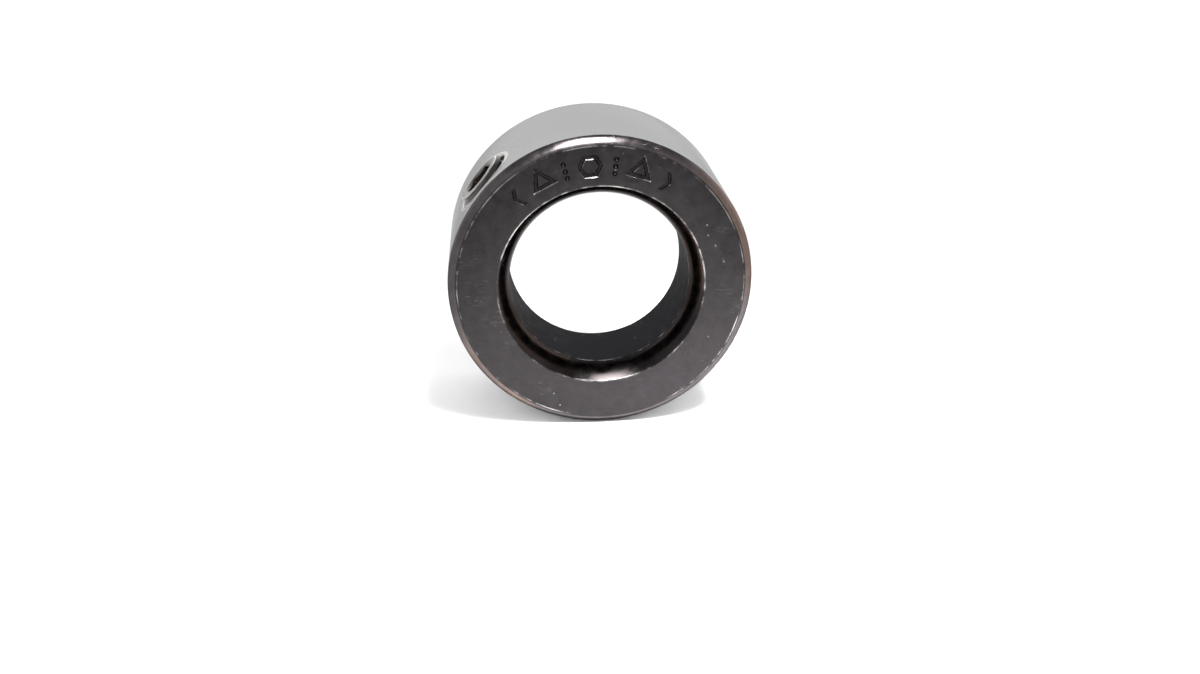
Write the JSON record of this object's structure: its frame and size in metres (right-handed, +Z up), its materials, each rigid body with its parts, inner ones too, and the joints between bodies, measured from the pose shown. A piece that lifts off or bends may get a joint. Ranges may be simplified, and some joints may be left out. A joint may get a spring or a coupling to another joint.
{
  "type": "eccentric locking collar",
  "caption": "Eccentric locking collar for an insert bearing: a chamfered steel ring with a lead-in bore, an offset recess in its back and a radial socket set screw.",
  "frame": {"origin": "on the shaft axis, in the plane of the recess's floor, where the shaft bore ends", "axes": "+Y along the shaft axis, out of the eccentric recess; the front face looks along -Y; +Z is up, as the ring stands on its rim with the thick wall of the recess at the bottom"},
  "size_m": [0.0286, 0.0135, 0.0286],
  "materials": {
    "collar_steel": "black oxide over fine turning, ground rim",
    "screw_steel": "black oxide, lightly oiled"
  },
  "bodies": {
    "collar": {"collar_ring": "collar_steel"},
    "screw": {"set_screw": "screw_steel"}
  },
  "joints": [
    {"name": "screw_travel", "type": "slide", "parent": "collar", "child": "screw", "axis": [-0.7615, 0, 0.6481], "range_m": [-0.001, 0.004]}
  ]
}
